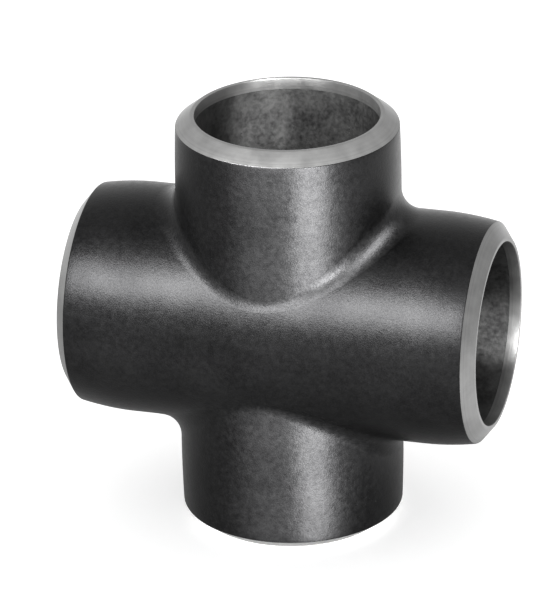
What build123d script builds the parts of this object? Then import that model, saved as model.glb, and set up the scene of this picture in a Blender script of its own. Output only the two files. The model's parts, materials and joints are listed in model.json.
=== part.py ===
from build123d import *
import math
import os

# Straight butt-weld pipe cross, nominal size 3 inch, Schedule 80, in millimetres.
# The run lies along X and the two branches stand on it along Z.  The origin is the
# point where the axes of all four legs cross.

# --- Pipe and end preparation (ASME B36.10M, B16.9 and B16.25) ---
PIPE_RADIUS = 88.9 / 2
WALL = 7.62
BORE_RADIUS = PIPE_RADIUS - WALL
CENTRE_TO_END = 86.0
BEVEL_ANGLE = 37.5
ROOT_FACE = 1.6

# --- Barrels: each one is a little larger than the pipe, behind a shoulder ---
SHOULDER_START = 60.0
RUN_RADIUS = 46.6
BRANCH_RADIUS = 45.0
BELLY_RISE = 3.5
BELLY_LENGTH = 52.0

# --- Saddle joints between the branches and the run ---
ROOT_GAP = 1.0
CROTCH_BLEND = 9.0
FRONT_BLEND = 12.0
TOE_DEPTH = 0.08
SECTION_DEPTH = 3.0
SECTIONS = 12
REFINEMENTS = 6

# --- Values that follow from the ones above ---
LAND_RADIUS = BORE_RADIUS + ROOT_FACE
BEVEL_LENGTH = (PIPE_RADIUS - LAND_RADIUS) * math.tan(math.radians(BEVEL_ANGLE))
BEVEL_START = CENTRE_TO_END - BEVEL_LENGTH
BELLY_RADIUS = RUN_RADIUS + BELLY_RISE
BELLY_ARC = (BELLY_LENGTH**2 + BELLY_RISE**2) / (4 * BELLY_RISE)
SECTION_ANGLE = math.pi / 2 / SECTIONS
THROUGH = 2 * CENTRE_TO_END

os.makedirs("parts", exist_ok=True)


def barrel_line(grown=0.0):
    """Draw the run's barrel, grown by a gap: straight, up over the belly and straight.

    Each side of the belly is a rounded crown and a hollow flank with equal radii.
    """
    half = BELLY_LENGTH / 2
    crown = ThreePointArc(
        (-half, RUN_RADIUS + BELLY_RISE / 2 + grown),
        (0, BELLY_RADIUS + grown),
        (half, RUN_RADIUS + BELLY_RISE / 2 + grown),
    )
    right = TangentArc(crown @ 1, (BELLY_LENGTH, RUN_RADIUS + grown), tangent=crown % 1)
    left = TangentArc(crown @ 0, (-BELLY_LENGTH, RUN_RADIUS + grown), tangent=-(crown % 0))
    Line(right @ 1, (SHOULDER_START, RUN_RADIUS + grown))
    Line(left @ 1, (-SHOULDER_START, RUN_RADIUS + grown))


# --- Run pipe: one bellied tube from the left end to the right end ---
with BuildPart() as run_solid:
    with BuildSketch(Plane.XZ):
        with BuildLine():
            barrel_line()
            right = TangentArc(
                (SHOULDER_START, RUN_RADIUS), (BEVEL_START, PIPE_RADIUS), tangent=(1, 0)
            )
            left = TangentArc(
                (-SHOULDER_START, RUN_RADIUS), (-BEVEL_START, PIPE_RADIUS), tangent=(-1, 0)
            )
            Polyline(
                right @ 1,
                (CENTRE_TO_END, LAND_RADIUS),
                (CENTRE_TO_END, 0),
                (-CENTRE_TO_END, 0),
                (-CENTRE_TO_END, LAND_RADIUS),
                left @ 1,
            )
        make_face()
    revolve(axis=Axis.X)

with BuildPart() as run_pipe:
    add(run_solid.part)
    Cylinder(BORE_RADIUS, THROUGH, rotation=(0, 90, 0), mode=Mode.SUBTRACT)
    Cylinder(BORE_RADIUS, THROUGH, mode=Mode.SUBTRACT)

run_pipe.part.label = "run_pipe"
export_step(run_pipe.part, "parts/run_pipe.step")

# --- Saddle: the run's barrel grown by the root gap, which cuts a branch's foot ---
with BuildPart() as saddle:
    with BuildSketch(Plane.XZ):
        with BuildLine():
            barrel_line(ROOT_GAP)
            Polyline(
                (SHOULDER_START, RUN_RADIUS + ROOT_GAP),
                (SHOULDER_START, 0),
                (-SHOULDER_START, 0),
                (-SHOULDER_START, RUN_RADIUS + ROOT_GAP),
            )
        make_face()
    revolve(axis=Axis.X)

# --- Upper and lower branch: two stubs with saddle-cut feet ---
with BuildPart() as branch_solid:
    with BuildSketch(Plane.XZ):
        with BuildLine():
            side = Line((BRANCH_RADIUS, 0), (BRANCH_RADIUS, SHOULDER_START))
            shoulder = TangentArc(side @ 1, (PIPE_RADIUS, BEVEL_START), tangent=side % 1)
            Polyline(
                shoulder @ 1,
                (LAND_RADIUS, CENTRE_TO_END),
                (0, CENTRE_TO_END),
                (0, 0),
                side @ 0,
            )
        make_face()
    revolve(axis=Axis.Z)

with BuildPart() as upper_branch:
    add(branch_solid.part)
    add(saddle.part, mode=Mode.SUBTRACT)
    Cylinder(BORE_RADIUS, THROUGH, mode=Mode.SUBTRACT)

with BuildPart() as lower_branch:
    mirror(upper_branch.part, about=Plane.XY)

# --- Root welds: saddle-shaped rings that fill the gaps under the branches' feet ---
with BuildPart() as upper_root_weld:
    Cylinder(
        BRANCH_RADIUS, SHOULDER_START, align=(Align.CENTER, Align.CENTER, Align.MIN)
    )
    add(saddle.part, mode=Mode.INTERSECT)
    Cylinder(BORE_RADIUS, THROUGH, mode=Mode.SUBTRACT)
    add(run_solid.part, mode=Mode.SUBTRACT)

with BuildPart() as lower_root_weld:
    mirror(upper_root_weld.part, about=Plane.XY)


# --- Fillet welds: dressed covers that blend the branches into the run ---
def run_surface(x):
    """Radius and slope of the run's barrel at a distance x from its middle."""
    half = BELLY_LENGTH / 2
    if abs(x) <= half:
        depth = math.sqrt(BELLY_ARC**2 - x * x)
        return BELLY_RADIUS - BELLY_ARC + depth, -x / depth
    offset = math.copysign(max(BELLY_LENGTH - abs(x), 0), x)
    depth = math.sqrt(BELLY_ARC**2 - offset**2)
    return RUN_RADIUS + BELLY_ARC - depth, -offset / depth


def blend_radius(angle):
    """Radius of the blend: small in the two crotches, larger at the front and back."""
    return CROTCH_BLEND + (FRONT_BLEND - CROTCH_BLEND) * math.sin(angle) ** 4


def blend_section(angle):
    """Face across the fillet weld at one angle around the branch.

    Its arc belongs to a ball that rests on the branch and on the run.  The arc runs
    on to TOE_DEPTH inside each, and the face closes SECTION_DEPTH under the corner.
    """
    ball = blend_radius(angle)
    side = Vector(math.cos(angle), math.sin(angle), 0)
    reach = side * (BRANCH_RADIUS + ball)
    touch_x = reach.X
    for refinement in range(REFINEMENTS):
        radius, slope = run_surface(touch_x)
        tilt = math.hypot(1, slope)
        touch_x = reach.X + ball * slope / tilt
    spine = radius + ball / tilt
    centre = Vector(reach.X, reach.Y, math.sqrt(spine**2 - reach.Y**2))
    down = Vector(-slope, centre.Y / spine, centre.Z / spine).normalized()
    middle = (side + down).normalized()
    arc_radius = ball + TOE_DEPTH
    upper_toe = centre - side * arc_radius
    lower_toe = centre - down * arc_radius
    crown = centre - middle * arc_radius
    root = centre - middle * (arc_radius / middle.dot(side) + SECTION_DEPTH)
    arc = Edge.make_three_point_arc(upper_toe, crown, lower_toe)
    sides = [Edge.make_line(lower_toe, root), Edge.make_line(root, upper_toe)]
    return Face(Wire([arc] + sides))


with BuildPart() as upper_fillet_weld:
    for quarter in range(4):
        steps = range(quarter * SECTIONS, (quarter + 1) * SECTIONS + 1)
        loft(sections=[blend_section(step * SECTION_ANGLE) for step in steps])
    add(branch_solid.part, mode=Mode.SUBTRACT)
    add(run_solid.part, mode=Mode.SUBTRACT)

with BuildPart() as lower_fillet_weld:
    mirror(upper_fillet_weld.part, about=Plane.XY)

# --- Finished pieces of the two branch joints ---
upper_branch.part.label = "upper_branch"
export_step(upper_branch.part, "parts/upper_branch.step")

lower_branch.part.label = "lower_branch"
export_step(lower_branch.part, "parts/lower_branch.step")

upper_root_weld.part.label = "upper_root_weld"
export_step(upper_root_weld.part, "parts/upper_root_weld.step")

lower_root_weld.part.label = "lower_root_weld"
export_step(lower_root_weld.part, "parts/lower_root_weld.step")

upper_fillet_weld.part.label = "upper_fillet_weld"
export_step(upper_fillet_weld.part, "parts/upper_fillet_weld.step")

lower_fillet_weld.part.label = "lower_fillet_weld"
export_step(lower_fillet_weld.part, "parts/lower_fillet_weld.step")
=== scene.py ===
"""Looks of a butt-weld steel pipe cross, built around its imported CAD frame.  Units are metres."""

import itertools
import json
import math

import bmesh
import bpy
from mathutils import Matrix, Vector, noise


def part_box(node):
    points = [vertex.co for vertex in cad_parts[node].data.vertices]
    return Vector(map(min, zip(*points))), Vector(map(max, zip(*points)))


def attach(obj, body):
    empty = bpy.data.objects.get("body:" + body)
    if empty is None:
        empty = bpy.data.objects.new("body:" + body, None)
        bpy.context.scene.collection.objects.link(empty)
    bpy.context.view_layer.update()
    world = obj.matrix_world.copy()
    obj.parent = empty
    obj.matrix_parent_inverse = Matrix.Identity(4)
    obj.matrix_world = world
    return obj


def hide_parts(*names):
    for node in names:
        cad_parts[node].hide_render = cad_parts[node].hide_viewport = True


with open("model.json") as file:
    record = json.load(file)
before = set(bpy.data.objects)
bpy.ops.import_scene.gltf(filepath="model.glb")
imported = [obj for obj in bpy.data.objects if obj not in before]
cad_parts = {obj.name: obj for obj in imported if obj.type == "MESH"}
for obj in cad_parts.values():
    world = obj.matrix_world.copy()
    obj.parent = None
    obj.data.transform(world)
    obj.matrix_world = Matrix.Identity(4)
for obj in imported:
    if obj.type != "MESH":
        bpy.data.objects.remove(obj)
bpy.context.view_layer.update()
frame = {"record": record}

MM = 0.001

# --- Sizes that the frame gives ---
MOUNTS = {mount["name"]: mount for mount in frame["record"]["mounts"]}
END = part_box("run_pipe")[1].x
BELLY_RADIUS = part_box("run_pipe")[1].y
BRANCH_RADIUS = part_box("upper_branch")[1].x
BORE_RADIUS = MOUNTS["right_end_bore"]["dims"]["r_mm"] * MM

# --- Sizes of the end preparation, barrels and blends, as in the CAD model ---
PIPE_RADIUS = 44.45 * MM
LAND_WIDTH = 1.6 * MM
BEVEL_ANGLE = math.radians(37.5)
LAND_RADIUS = BORE_RADIUS + LAND_WIDTH
BEVEL_START = END - (PIPE_RADIUS - LAND_RADIUS) * math.tan(BEVEL_ANGLE)
SHOULDER_START = 60 * MM
RUN_RADIUS = 46.6 * MM
BELLY_LENGTH = 52 * MM
ROOT_GAP = 1 * MM
CROTCH_BLEND = 9 * MM
FRONT_BLEND = 12 * MM
BELLY_RISE = BELLY_RADIUS - RUN_RADIUS
BELLY_ARC = (BELLY_LENGTH**2 + BELLY_RISE**2) / (4 * BELLY_RISE)

# --- Finish of the ends: the lathe also cleans the first few millimetres of the bore ---
BAND_DEPTH = 4.7 * MM
BAND_END = END - BAND_DEPTH
SOFT_EDGE = 0.35 * MM
BEVEL_MARGIN = 1 * MM
SHARP_ANGLE = math.radians(28)

# --- Fineness of the meshes: rows round a quarter turn and along each stretch ---
HOLE_ROWS = 44
BELLY_ROWS = 36
QUARTER_ROWS = HOLE_ROWS + BELLY_ROWS
BARREL_STEPS = 34
SHOULDER_STEPS = 10
BORE_STEPS = 16
WALL_STEPS = 5
ROOT_STEPS = 4
ARC_STEPS = 22
EDGE_STEPS = 4
REFINEMENTS = 6
MERGE_DISTANCE = 0.002 * MM

# --- Unevenness: forged waves of the outer surface, always inward, and the root beads ---
WAVE_DEPTH = 0.12 * MM
WAVE_LENGTH = 16 * MM
WAVE_FADE = 8 * MM
ROOT_BULGE = 0.5 * MM
ROOT_RIPPLES = 90
RIPPLE_SHARE = 0.15

# --- How far the welds reach inside their neighbours, and the least radius of an outer surface ---
SINK = 0.3 * MM
OUTER_SURFACE = BORE_RADIUS + 1 * MM

# --- Material slots of every piece ---
COAT, MACHINED, BORE = range(3)


# ---------------------------------------------------------------- surfaces
def shoulder_radius(along, barrel):
    """Radius on the arc that leaves a barrel at its shoulder and meets the bevel."""
    length = BEVEL_START - SHOULDER_START
    drop = barrel - PIPE_RADIUS
    arc = (length**2 + drop**2) / (2 * drop)
    return barrel - arc + math.sqrt(arc**2 - (along - SHOULDER_START) ** 2)


def run_surface(x):
    """Radius and slope of the run's barrel at a distance x from its middle."""
    if abs(x) <= BELLY_LENGTH / 2:
        depth = math.sqrt(BELLY_ARC**2 - x * x)
        return BELLY_RADIUS - BELLY_ARC + depth, -x / depth
    offset = math.copysign(max(BELLY_LENGTH - abs(x), 0), x)
    depth = math.sqrt(BELLY_ARC**2 - offset**2)
    return RUN_RADIUS + BELLY_ARC - depth, -offset / depth


def saddle_height(radius, angle, gap=0.0):
    """Height at which a line beside the branch's axis leaves the run's surface, grown by gap."""
    y = radius * math.sin(angle)
    return math.sqrt((run_surface(radius * math.cos(angle))[0] + gap) ** 2 - y * y)


def waved(point, normal):
    """The point moved inward by the slight unevenness of a forged surface."""
    fade = min(1, max(0, BEVEL_START - max(abs(point.x), abs(point.z))) / WAVE_FADE)
    swell = 0.5 + 0.5 * noise.noise(point / WAVE_LENGTH)
    return point - normal * (WAVE_DEPTH * swell * fade)


def softened(corners):
    """Points through the inner corners of a line, each with a small round."""
    points = []
    for before, corner, after in zip(corners, corners[1:], corners[2:]):
        start = corner - (corner - before).normalized() * SOFT_EDGE
        stop = corner + (after - corner).normalized() * SOFT_EDGE
        for step in range(EDGE_STEPS):
            t = step / (EDGE_STEPS - 1)
            points.append(start * (1 - t) ** 2 + corner * (2 * t * (1 - t)) + stop * t * t)
    return points


def end_profile(barrel):
    """(along, radius, zone) rows from the shoulder round the bevel and the land into the bore.

    A row's zone is that of the strip that follows it.
    """
    last = BEVEL_START - BEVEL_MARGIN
    rows = []
    for step in range(1, SHOULDER_STEPS):
        along = SHOULDER_START + (last - SHOULDER_START) * step / SHOULDER_STEPS
        rows.append((along, shoulder_radius(along, barrel), COAT))
    corners = [
        Vector((last, shoulder_radius(last, barrel))),
        Vector((BEVEL_START, PIPE_RADIUS)),
        Vector((END, LAND_RADIUS)),
        Vector((END, BORE_RADIUS)),
        Vector((BAND_END, BORE_RADIUS)),
    ]
    for index, point in enumerate(softened(corners)):
        rows.append((point.x, point.y, MACHINED if index >= EDGE_STEPS // 2 else COAT))
    rows.append((BAND_END, BORE_RADIUS, BORE))
    return rows


# ---------------------------------------------------------------- mesh building
def finished(name, bm, materials):
    """An object from a closed bmesh, smooth but for its real edges."""
    bmesh.ops.remove_doubles(bm, verts=bm.verts, dist=MERGE_DISTANCE)
    bmesh.ops.recalc_face_normals(bm, faces=bm.faces)
    for edge in bm.edges:
        edge.smooth = edge.calc_face_angle(0) < SHARP_ANGLE
    for face in bm.faces:
        face.smooth = True
    mesh = bpy.data.meshes.new(name)
    bm.to_mesh(mesh)
    bm.free()
    for material in materials:
        mesh.materials.append(material)
    piece = bpy.data.objects.new(name, mesh)
    fitting.objects.link(piece)
    return piece


def strip(bm, grid, zones):
    """Faces between neighbouring rows of vertices; zones names each column's material."""
    for row, following in zip(grid, grid[1:]):
        for column in range(len(row) - 1):
            corners = (row[column], row[column + 1], following[column + 1], following[column])
            if len(set(corners)) == 4:
                face = bm.faces.new(corners)
                face.material_index = zones[column]


def ring_piece(name, section, zones, materials, flip=False):
    """A closed ring round the Z axis from its section at each angle, upside down if flip."""
    bm = bmesh.new()
    side = -1 if flip else 1
    count = 4 * QUARTER_ROWS
    grid = []
    for index in range(count):
        points = section(2 * math.pi * index / count)
        row = [bm.verts.new((p.x, p.y, p.z * side)) for p in points]
        grid.append(row + [row[0]])
    strip(bm, grid + [grid[0]], zones)
    return finished(name, bm, materials)


def branch_section(angle):
    """Closed section of a branch: up the outside, round the end, down the bore, along the foot."""
    out = Vector((math.cos(angle), math.sin(angle), 0))
    foot = saddle_height(BRANCH_RADIUS, angle, ROOT_GAP)
    points = []
    for step in range(BARREL_STEPS + 1):
        z = foot + (SHOULDER_START - foot) * step / BARREL_STEPS
        points.append(waved(out * BRANCH_RADIUS + Vector((0, 0, z)), out))
    for z, radius, zone in end_profile(BRANCH_RADIUS):
        point = out * radius + Vector((0, 0, z))
        points.append(waved(point, out) if zone == COAT else point)
    inner_foot = saddle_height(BORE_RADIUS, angle, ROOT_GAP)
    for step in range(1, BORE_STEPS + 1):
        z = BAND_END + (inner_foot - BAND_END) * step / BORE_STEPS
        points.append(out * BORE_RADIUS + Vector((0, 0, z)))
    middle = (BORE_RADIUS + BRANCH_RADIUS) / 2
    points.append(out * middle + Vector((0, 0, saddle_height(middle, angle, ROOT_GAP))))
    return points


def branch_zones():
    """Material of each strip of branch_section."""
    ends = [zone for _, _, zone in end_profile(BRANCH_RADIUS)]
    return [COAT] * (BARREL_STEPS + 1) + ends + [BORE] * BORE_STEPS + [COAT]


def root_section(angle):
    """Closed section of the weld metal under a branch's foot, with its bead inside the bore."""
    out = Vector((math.cos(angle), math.sin(angle), 0))
    outer = BRANCH_RADIUS - SINK
    wall = outer - BORE_RADIUS
    radii = [BORE_RADIUS + wall * step / ROOT_STEPS for step in range(ROOT_STEPS + 1)]
    top = [out * r + Vector((0, 0, saddle_height(r, angle, ROOT_GAP))) for r in radii]
    bottom = [out * r + Vector((0, 0, saddle_height(r, angle))) for r in reversed(radii)]
    ripple = 1 - RIPPLE_SHARE + RIPPLE_SHARE * math.sin(ROOT_RIPPLES * angle)
    rise = top[0].z - bottom[-1].z
    bead = []
    for step in range(1, WALL_STEPS + 1):
        t = step / (WALL_STEPS + 1)
        radius = BORE_RADIUS - ROOT_BULGE * ripple * math.sin(math.pi * t)
        bead.append(out * radius + Vector((0, 0, bottom[-1].z + rise * t)))
    return top + bottom + bead


def blend_ball(angle):
    """Centre, radius and two inward directions of the ball that rests on branch and run."""
    ball = CROTCH_BLEND + (FRONT_BLEND - CROTCH_BLEND) * math.sin(angle) ** 4
    side = Vector((math.cos(angle), math.sin(angle), 0))
    reach = side * (BRANCH_RADIUS + ball)
    touch_x = reach.x
    for _ in range(REFINEMENTS):
        radius, slope = run_surface(touch_x)
        tilt = math.hypot(1, slope)
        touch_x = reach.x + ball * slope / tilt
    spine = radius + ball / tilt
    centre = Vector((reach.x, reach.y, math.sqrt(spine**2 - reach.y**2)))
    down = Vector((-slope, centre.y / spine, centre.z / spine)).normalized()
    return centre, ball, side, down


def blend_section(angle):
    """Closed section of the fillet weld: the ball's arc, then back inside run and branch."""
    centre, ball, side, down = blend_ball(angle)
    points = []
    for step in range(ARC_STEPS + 1):
        share = 0.5 - 0.5 * math.cos(math.pi * step / ARC_STEPS)
        inward = side.slerp(down, share)
        points.append(waved(centre - inward * ball, inward))
    corner = side * BRANCH_RADIUS + Vector((0, 0, saddle_height(BRANCH_RADIUS, angle)))
    low = centre - down * ball
    low_turn = math.atan2(low.y, low.z)
    corner_turn = math.atan2(corner.y, corner.z)
    for step in range(1, WALL_STEPS):
        t = step / WALL_STEPS
        x = low.x + (corner.x - low.x) * t
        turn = low_turn + (corner_turn - low_turn) * t
        points.append(run_point(x, turn, run_surface(x)[0] - SINK))
    points.append(corner - side * SINK - Vector((0, 0, SINK)))
    high = centre - side * ball
    for step in range(1, WALL_STEPS):
        t = step / WALL_STEPS
        height = corner.z + (high.z - corner.z) * t
        points.append(side * (BRANCH_RADIUS - SINK) + Vector((0, 0, height)))
    return points


def eased(t):
    """A share from 0 to 1 that starts and ends gently."""
    return t * t * (3 - 2 * t)


def run_point(x, turn, radius):
    """Point at a radius round the run's axis, turned from straight up towards +Y."""
    return Vector((x, radius * math.sin(turn), radius * math.cos(turn)))


def run_row(index):
    """One row of the run's octant, from the hole round the right end and back along the bore."""
    last_turn = math.pi / 2 * index / QUARTER_ROWS
    around = math.pi / 2 * min(index / HOLE_ROWS, 1)
    hole_x = BORE_RADIUS * math.cos(around)
    outer_turn = math.atan2(BORE_RADIUS * math.sin(around), saddle_height(BORE_RADIUS, around))
    if index >= HOLE_ROWS:
        hole_x = 0.0
        share = (index - HOLE_ROWS) / BELLY_ROWS
        outer_turn += (math.pi / 2 - outer_turn) * share
    row = []
    for step in range(BARREL_STEPS + 1):
        t = step / BARREL_STEPS
        x = hole_x + (SHOULDER_START - hole_x) * t
        turn = outer_turn + (last_turn - outer_turn) * eased(t)
        row.append(run_point(x, turn, run_surface(x)[0]))
    for x, radius, _ in end_profile(RUN_RADIUS):
        row.append(run_point(x, last_turn, radius))
    for step in range(1, BORE_STEPS + 1):
        t = step / BORE_STEPS
        x = BAND_END + (hole_x - BAND_END) * t
        turn = last_turn + (around - last_turn) * eased(t)
        row.append(run_point(x, turn, BORE_RADIUS))
    return row


def hole_row(index):
    """One row down the wall of a branch's hole in the run, from outside to bore."""
    around = math.pi / 2 * index / HOLE_ROWS
    x = BORE_RADIUS * math.cos(around)
    y = BORE_RADIUS * math.sin(around)
    top = saddle_height(BORE_RADIUS, around)
    bottom = BORE_RADIUS * math.cos(around)
    return [Vector((x, y, top + (bottom - top) * step / WALL_STEPS)) for step in range(WALL_STEPS + 1)]


def run_piece(name, materials):
    """The run pipe, built as one octant and mirrored in its three planes of symmetry."""
    bm = bmesh.new()
    ends = [zone for _, _, zone in end_profile(RUN_RADIUS)]
    zones = [COAT] * (BARREL_STEPS + 1) + ends + [BORE] * BORE_STEPS
    rows = [run_row(index) for index in range(QUARTER_ROWS + 1)]
    holes = [hole_row(index) for index in range(HOLE_ROWS + 1)]
    for sx, sy, sz in itertools.product((1, -1), repeat=3):
        for patch, patch_zones in ((rows, zones), (holes, [BORE] * WALL_STEPS)):
            grid = []
            for row in patch:
                grid.append([bm.verts.new((p.x * sx, p.y * sy, p.z * sz)) for p in row])
            strip(bm, grid, patch_zones)
    for vert in bm.verts:
        across = Vector((0, vert.co.y, vert.co.z))
        if across.length > OUTER_SURFACE and abs(vert.co.x) < BEVEL_START:
            vert.co = waved(vert.co, across.normalized())
    return finished(name, bm, materials)


# ---------------------------------------------------------------- material nodes
COAT_COLOURS = ((0.0105, 0.0105, 0.0108), (0.022, 0.022, 0.0224))
WELD_COLOURS = ((0.011, 0.011, 0.0113), (0.023, 0.023, 0.0234))
MACHINED_COLOURS = ((0.13, 0.13, 0.129), (0.19, 0.19, 0.188))
SCALE_COLOURS = ((0.016, 0.016, 0.016), (0.05, 0.05, 0.0495))
WEAR_START = BEVEL_START + 0.25 * MM
WEAR_END = BEVEL_START + 0.4 * MM
WEAR_FRAY = 0.4 * MM
WORN_STEEL = (0.1, 0.1, 0.099)


class Maker:
    """A new material's node tree, with short calls for the nodes that these finishes use."""

    def __init__(self, name):
        self.material = bpy.data.materials.new(name)
        self.material.use_nodes = True
        self.nodes = self.material.node_tree.nodes
        self.links = self.material.node_tree.links
        self.shader = self.nodes["Principled BSDF"]
        self.place = self.nodes.new("ShaderNodeTexCoord").outputs["Object"]

    def fill(self, socket, value):
        """Give a socket a plain value, or the output of another node."""
        if hasattr(value, "is_linked"):
            self.links.new(value, socket)
        else:
            socket.default_value = value

    def noise(self, size, detail=2.0, vector=None):
        """Noise with features of about a size in metres."""
        node = self.nodes.new("ShaderNodeTexNoise")
        self.links.new(vector or self.place, node.inputs["Vector"])
        node.inputs["Scale"].default_value = 1 / size
        node.inputs["Detail"].default_value = detail
        return node.outputs["Fac"]

    def math(self, operation, first, second=0.0):
        """Result of one step of arithmetic."""
        node = self.nodes.new("ShaderNodeMath")
        node.operation = operation
        self.fill(node.inputs[0], first)
        self.fill(node.inputs[1], second)
        return node.outputs["Value"]

    def mapped(self, value, from_low, from_high, to_low, to_high):
        """The value moved from one range to another, and kept inside it."""
        node = self.nodes.new("ShaderNodeMapRange")
        for socket, number in zip(node.inputs[1:5], (from_low, from_high, to_low, to_high)):
            socket.default_value = number
        self.links.new(value, node.inputs["Value"])
        return node.outputs["Result"]

    def mixed(self, factor, first, second):
        """Colour between two, each a socket or a plain grey triple."""
        node = self.nodes.new("ShaderNodeMix")
        node.data_type = "RGBA"
        self.fill(node.inputs["Factor"], factor)
        for socket, colour in ((node.inputs[6], first), (node.inputs[7], second)):
            self.fill(socket, colour if hasattr(colour, "is_linked") else (*colour, 1))
        return node.outputs[2]

    def bump(self, height, distance, under=None):
        """Normal roughened by a height, over another normal if one is given."""
        node = self.nodes.new("ShaderNodeBump")
        node.inputs["Distance"].default_value = distance
        self.links.new(height, node.inputs["Height"])
        if under:
            self.links.new(under, node.inputs["Normal"])
        return node.outputs["Normal"]

    def axes(self):
        """Distance along the leg that the point is on, and radius round that leg's axis."""
        split = self.nodes.new("ShaderNodeSeparateXYZ")
        self.links.new(self.place, split.inputs["Vector"])
        x, y, z = split.outputs
        along_x = self.math("ABSOLUTE", x)
        along_z = self.math("ABSOLUTE", z)
        other = self.math("MINIMUM", along_x, along_z)
        depth = self.math("MULTIPLY", y, y)
        square = self.math("ADD", self.math("MULTIPLY", other, other), depth)
        return self.math("MAXIMUM", along_x, along_z), self.math("SQRT", square)

    def finish(self, colour, roughness, normal, metallic):
        """Join the colour, roughness and normal to the shader and give back the material."""
        self.links.new(colour, self.shader.inputs["Base Color"])
        self.links.new(roughness, self.shader.inputs["Roughness"])
        self.links.new(normal, self.shader.inputs["Normal"])
        self.shader.inputs["Metallic"].default_value = metallic
        return self.material


def dark_coat(name, dark, light, grain_size, grain_depth):
    """Thin black satin coat: faintly mottled, with a fine grain, rubbed through at the bevel."""
    maker = Maker(name)
    mottle = maker.noise(22 * MM, 3)
    patches = maker.noise(2.2 * MM, 3)
    grain = maker.noise(grain_size, 2)
    shade = maker.math("ADD", maker.math("MULTIPLY", mottle, 0.35), maker.math("MULTIPLY", patches, 0.25))
    shade = maker.math("ADD", shade, maker.math("MULTIPLY", grain, 0.4))
    body = maker.mixed(maker.mapped(shade, 0.35, 0.65, 0, 1), dark, light)
    along = maker.axes()[0]
    frayed = maker.math("ADD", along, maker.math("MULTIPLY", patches, WEAR_FRAY))
    worn = maker.mapped(frayed, WEAR_START, WEAR_END, 0, 1)
    colour = maker.mixed(worn, body, WORN_STEEL)
    roughness = maker.mapped(patches, 0.3, 0.7, 0.32, 0.38)
    normal = maker.bump(grain, grain_depth, maker.bump(patches, 0.03 * MM))
    return maker.finish(colour, roughness, normal, 1.0)


def machined_steel(name):
    """Turned ends: fine concentric tool marks, a little uneven in brightness."""
    maker = Maker(name)
    along, radius = maker.axes()
    stack = maker.nodes.new("ShaderNodeCombineXYZ")
    maker.fill(stack.inputs["X"], maker.math("ADD", radius, along))
    maker.fill(stack.inputs["Y"], maker.math("SUBTRACT", radius, along))
    rings = maker.noise(0.35 * MM, 2, stack.outputs["Vector"])
    cloud = maker.noise(6 * MM, 3)
    fine = maker.noise(0.5 * MM, 2)
    shade = maker.math("ADD", maker.math("MULTIPLY", rings, 0.5), maker.math("MULTIPLY", cloud, 0.5))
    colour = maker.mixed(maker.mapped(shade, 0.3, 0.7, 0, 1), *MACHINED_COLOURS)
    roughness = maker.mapped(cloud, 0.3, 0.7, 0.28, 0.36)
    normal = maker.bump(rings, 0.02 * MM, maker.bump(fine, 0.015 * MM))
    return maker.finish(colour, roughness, normal, 0.85)


def bore_scale(name):
    """Inside wall: grey rolling scale with paler rubbed patches."""
    maker = Maker(name)
    patches = maker.noise(9 * MM, 5)
    flakes = maker.noise(1.6 * MM, 4)
    shade = maker.math("ADD", maker.math("MULTIPLY", patches, 0.6), maker.math("MULTIPLY", flakes, 0.4))
    colour = maker.mixed(maker.mapped(shade, 0.35, 0.65, 0, 1), *SCALE_COLOURS)
    roughness = maker.mapped(flakes, 0.3, 0.7, 0.38, 0.52)
    normal = maker.bump(flakes, 0.08 * MM)
    return maker.finish(colour, roughness, normal, 0.7)


def stage_matt(name, dark, light, glow):
    """Plain matt surface with a faint unevenness, which may glow a little."""
    maker = Maker(name)
    cloud = maker.noise(0.4, 2)
    colour = maker.mixed(cloud, dark, light)
    roughness = maker.mapped(cloud, 0, 1, 0.7, 0.8)
    maker.shader.inputs["Emission Color"].default_value = (1, 1, 1, 1)
    maker.shader.inputs["Emission Strength"].default_value = glow
    return maker.finish(colour, roughness, maker.bump(cloud, 0.01 * MM), 0.0)


# ---------------------------------------------------------------- pieces
def new_collection(name, parent):
    """A collection that some of the lights shine on."""
    collection = bpy.data.collections.new(name)
    parent.children.link(collection)
    return collection


fitting = new_collection("fitting", bpy.context.scene.collection)
branches = new_collection("branches", fitting)
welds = new_collection("welds", fitting)
runs = new_collection("runs", fitting)

coat = dark_coat("black_coat", *COAT_COLOURS, 0.6 * MM, 0.05 * MM)
weld_coat = dark_coat("dressed_weld", *WELD_COLOURS, 0.8 * MM, 0.06 * MM)
machined = machined_steel("machined_steel")
bore = bore_scale("bore_scale")
PIPE_MATERIALS = [coat, machined, bore]
WELD_MATERIALS = [weld_coat, machined, bore]

run = run_piece("run_pipe_body", PIPE_MATERIALS)
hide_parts("run_pipe")
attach(run, "root")
runs.objects.link(run)

ROOT_ZONES = [BORE] * (2 * (ROOT_STEPS + 1) + WALL_STEPS)
BLEND_ZONES = [COAT] * (ARC_STEPS + 2 * WALL_STEPS)
for place, flip in (("upper", False), ("lower", True)):
    branch = ring_piece(f"{place}_branch_body", branch_section, branch_zones(), PIPE_MATERIALS, flip)
    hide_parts(f"{place}_branch")
    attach(branch, "root")
    branches.objects.link(branch)
    root = ring_piece(f"{place}_root_bead", root_section, ROOT_ZONES, WELD_MATERIALS, flip)
    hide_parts(f"{place}_root_weld")
    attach(root, "root")
    blend = ring_piece(f"{place}_fillet_bead", blend_section, BLEND_ZONES, WELD_MATERIALS, flip)
    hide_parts(f"{place}_fillet_weld")
    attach(blend, "root")
    branches.objects.link(blend)
    welds.objects.link(blend)

# ---------------------------------------------------------------- camera
AZIMUTH, ELEVATION, ROLL = (math.radians(a) for a in (16.6, 24.6, -1.0))
DISTANCE = 2.2
LENS = 325
LOOK_LEFT = 5.2 * MM
LOOK_UP = 3.0 * MM


def direction(azimuth, elevation):
    """Unit vector away from the object; azimuth 0 is the front and turns towards +X."""
    level = math.cos(elevation)
    return Vector((math.sin(azimuth) * level, -math.cos(azimuth) * level, math.sin(elevation)))


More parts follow.
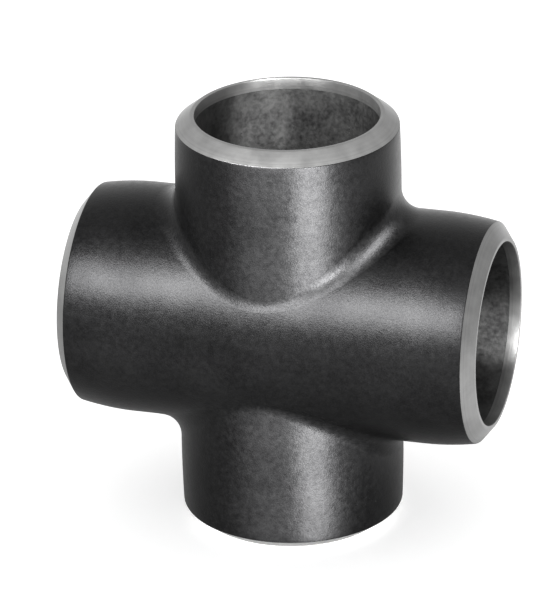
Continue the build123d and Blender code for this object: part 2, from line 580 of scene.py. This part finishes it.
back = direction(AZIMUTH, ELEVATION)
level_right = Vector((math.cos(AZIMUTH), math.sin(AZIMUTH), 0))
right = level_right * math.cos(ROLL) + back.cross(level_right) * math.sin(ROLL)
up = back.cross(right)
camera_data = bpy.data.cameras.new("camera")
camera_data.lens = LENS
camera_data.sensor_width = 36
camera_data.clip_start = 0.1
camera_data.clip_end = 50
camera = bpy.data.objects.new("camera", camera_data)
camera.matrix_world = Matrix((right, up, back)).transposed().to_4x4()
camera.location = up * LOOK_UP - right * LOOK_LEFT + back * DISTANCE
bpy.context.scene.collection.objects.link(camera)
bpy.context.scene.camera = camera

# ---------------------------------------------------------------- floor and light
WHITES = ((0.93, 0.93, 0.93), (0.95, 0.95, 0.95))
GREYS = ((0.6, 0.6, 0.6), (0.64, 0.64, 0.64))
FLOOR_RADIUS = 8
FLOOR_GLOW = 0.42
DISC_SEGMENTS = 96
WORLD_LEVEL = 0.9
PANEL_HEIGHT = 0.5 * MM - END
# The grey cloth only shows in reflections, where it puts painted shade on the fitting's lower left.
FLAG_CENTRE = (-0.28, -0.06, PANEL_HEIGHT)
FLAG_RADIUS = 0.38
# The white card glows though it is no lamp and only shows in reflections: a painted reflection on the
# right-hand bevel.
REFLECTOR_CENTRE = (0.3, 0, PANEL_HEIGHT)
REFLECTOR_RADIUS = 0.17
REFLECTOR_GLOW = 1.3
SOFTBOX_DISTANCE = 3
SPOT_DISTANCE = 1.4
SPOT_ANGLE = math.radians(1.4)
SPOT_SOURCE_RADIUS = 2 * MM


def disc(name, centre, radius, material):
    """A flat round part of the stage."""
    bm = bmesh.new()
    bmesh.ops.create_circle(bm, cap_ends=True, segments=DISC_SEGMENTS, radius=radius)
    mesh = bpy.data.meshes.new(name)
    bm.to_mesh(mesh)
    bm.free()
    mesh.materials.append(material)
    piece = bpy.data.objects.new(name, mesh)
    piece.location = centre
    bpy.context.scene.collection.objects.link(piece)
    return piece


pale = stage_matt("pale_floor", *WHITES, FLOOR_GLOW)
disc("floor", (0, 0, -END), FLOOR_RADIUS, pale)

# A grey cloth and a glowing white card lie just over the floor and only show in reflections: painted
# shade on the lower left of the fitting and a painted reflection on its right-hand bevel.
shade_cloth = stage_matt("reflected_shade_cloth", *GREYS, 0)
flag = disc("flag", FLAG_CENTRE, FLAG_RADIUS, shade_cloth)
glowing_card = stage_matt("glowing_reflector_card", *WHITES, REFLECTOR_GLOW)
reflector = disc("reflector", REFLECTOR_CENTRE, REFLECTOR_RADIUS, glowing_card)
for panel in (flag, reflector):
    panel.visible_camera = False
    panel.visible_diffuse = False
    panel.visible_shadow = False


def shine(name, kind, azimuth, elevation, distance, power, receivers=fitting, target=Vector()):
    """A light that reaches only its receivers, at a distance from its target and aimed at it."""
    away = direction(math.radians(azimuth), math.radians(elevation))
    data = bpy.data.lights.new(name, kind)
    data.energy = power
    lamp = bpy.data.objects.new(name, data)
    lamp.location = target + away * distance
    lamp.rotation_mode = "QUATERNION"
    lamp.rotation_quaternion = away.to_track_quat("Z", "Y")
    lamp.light_linking.receiver_collection = receivers
    lamp.light_linking.blocker_collection = fitting
    bpy.context.scene.collection.objects.link(lamp)
    return data


def softbox(name, azimuth, elevation, width, height, power, receivers=fitting):
    """A rectangular soft light aimed at the middle of the fitting."""
    data = shine(name, "AREA", azimuth, elevation, SOFTBOX_DISTANCE, power, receivers)
    data.shape = "RECTANGLE"
    data.size = width
    data.size_y = height


def bore_spot(name, azimuth, elevation, power, target):
    """A narrow soft-edged spot that makes the patch of light inside a mouth; target in mm."""
    data = shine(name, "SPOT", azimuth, elevation, SPOT_DISTANCE, power, fitting, Vector(target) * MM)
    data.spot_size = SPOT_ANGLE
    data.spot_blend = 1
    data.shadow_soft_size = SPOT_SOURCE_RADIUS


# Each light has its azimuth and elevation in degrees, its width and height in metres, its watts
# and what it reaches, if that isn't the whole fitting.
softbox("run_light", -18, 34.5, 3.2, 1.4, 420)
softbox("branch_light", 37.5, -12, 0.6, 2.1, 650, branches)
softbox("branch_fill", -6, -4, 1.8, 1.8, 400, branches)
softbox("run_fill", -20, -36, 2.4, 2.6, 100, runs)
softbox("crease_light", 68, 42, 2.4, 1.6, 320, welds)
softbox("key", 32, 30, 1.7, 1.9, 50)
bore_spot("upper_bore_spot", 34, 55, 900, (-20, 31, 66))
bore_spot("right_bore_spot", 50, 20, 650, (78, 33, -14))

world = bpy.data.worlds.new("studio")
bpy.context.scene.world = world
world.use_nodes = True
world.node_tree.nodes["Background"].inputs["Color"].default_value = (1, 1, 1, 1)
world.node_tree.nodes["Background"].inputs["Strength"].default_value = WORLD_LEVEL
bpy.context.scene.view_settings.view_transform = "Standard"
